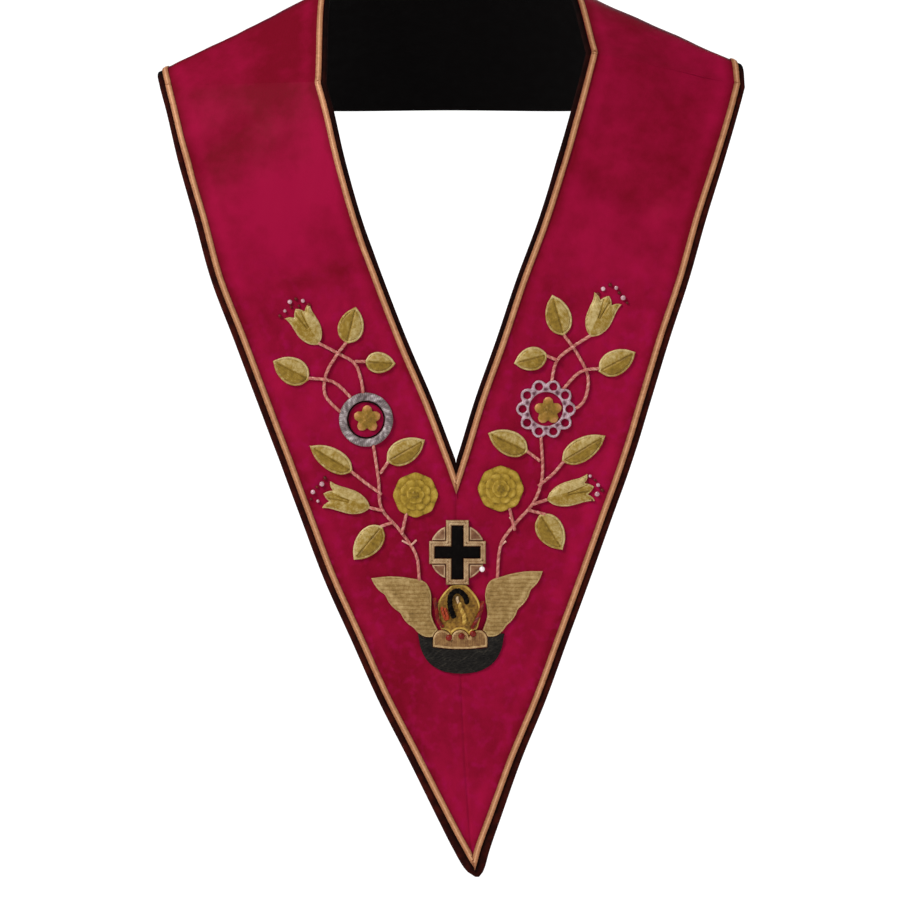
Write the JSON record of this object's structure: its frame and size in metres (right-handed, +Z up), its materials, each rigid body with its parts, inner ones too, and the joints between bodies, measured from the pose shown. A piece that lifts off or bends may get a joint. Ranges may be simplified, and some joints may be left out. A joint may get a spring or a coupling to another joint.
{
  "type": "masonic collar",
  "caption": "Crimson ribbon collar in its worn form: its arms meet in a point on the chest, with gold braid along the edges and raised flowers, a cross and a pelican.",
  "frame": {"origin": "middle of the ribbon's upper edge behind the neck, on the lining, where the collar hangs on its wearer", "axes": "+Z up, -Y towards the front of the wearer, +X towards a viewer's right (the wearer's left arm)"},
  "size_m": [0.3751, 0.1887, 0.574],
  "materials": {
    "satin": "crimson satin ribbon with a soft sheen",
    "lining": "matt black lining and edge",
    "braid": "woven gold thread braid",
    "bullion": "laid gold bullion wire embroidery",
    "silver": "silver thread embroidery",
    "silk": "twisted pink and silver silk cord",
    "velvet": "black velvet",
    "nest": "dark tangled thread"
  },
  "bodies": {
    "root": {"lining_left": "lining", "lining_right": "lining", "lining_neck": "lining", "face_left": "satin", "face_right": "satin", "face_neck": "satin", "braid_inner_left": "braid", "braid_inner_right": "braid", "braid_inner_neck": "braid", "braid_outer_left": "braid", "braid_outer_right": "braid", "braid_outer_neck": "braid", "cross_border": "braid", "chicks": "braid", "leaf_left_1": "bullion", "leaf_left_2": "bullion", "leaf_left_3": "bullion", "leaf_left_4": "bullion", "leaf_left_5": "bullion", "leaf_left_6": "bullion", "leaf_right_1": "bullion", "leaf_right_2": "bullion", "leaf_right_3": "bullion", "leaf_right_4": "bullion", "leaf_right_5": "bullion", "leaf_right_6": "bullion", "bud_left_upper": "bullion", "bud_left_lower": "bullion", "bud_right_upper": "bullion", "bud_right_lower": "bullion", "flower_left": "bullion", "flower_right": "bullion", "rose_left": "bullion", "rose_right": "bullion", "centre_rose": "bullion", "pelican_body": "bullion", "wing_left": "bullion", "wing_right": "bullion", "ring_left": "silver", "ring_right": "silver", "branch_left_upper": "silk", "branch_left_lower": "silk", "branch_right_upper": "silk", "branch_right_lower": "silk", "cross": "velvet", "pelican_neck": "velvet", "nest": "nest"}
  },
  "joints": []
}
